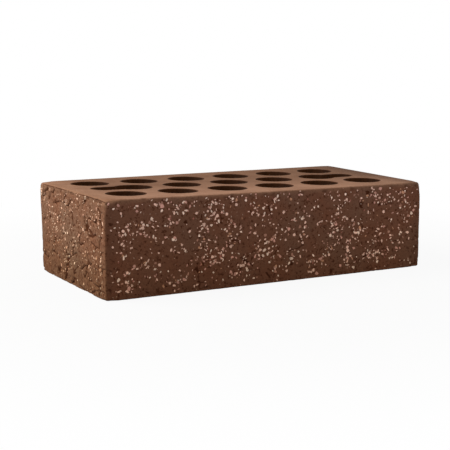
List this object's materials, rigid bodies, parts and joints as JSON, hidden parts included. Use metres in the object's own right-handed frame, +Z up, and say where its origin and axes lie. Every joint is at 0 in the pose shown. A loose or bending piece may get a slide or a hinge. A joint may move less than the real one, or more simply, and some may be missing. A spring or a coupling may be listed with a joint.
{
  "type": "perforated clay facing brick",
  "caption": "Dark brown fired clay facing brick with rows of round core holes through its beds, bark-like faces and pale mineral chips.",
  "frame": {"origin": "middle of the lower bed, on the surface that the brick lies on", "axes": "+X along the length of the stretcher faces, +Y across the width, +Z up along the core holes"},
  "size_m": [0.25, 0.12, 0.065],
  "materials": {
    "fired_clay": "matt dark brown fired clay with pale and salmon mineral chips"
  },
  "bodies": {
    "root": {"brick": "fired_clay"}
  },
  "joints": []
}
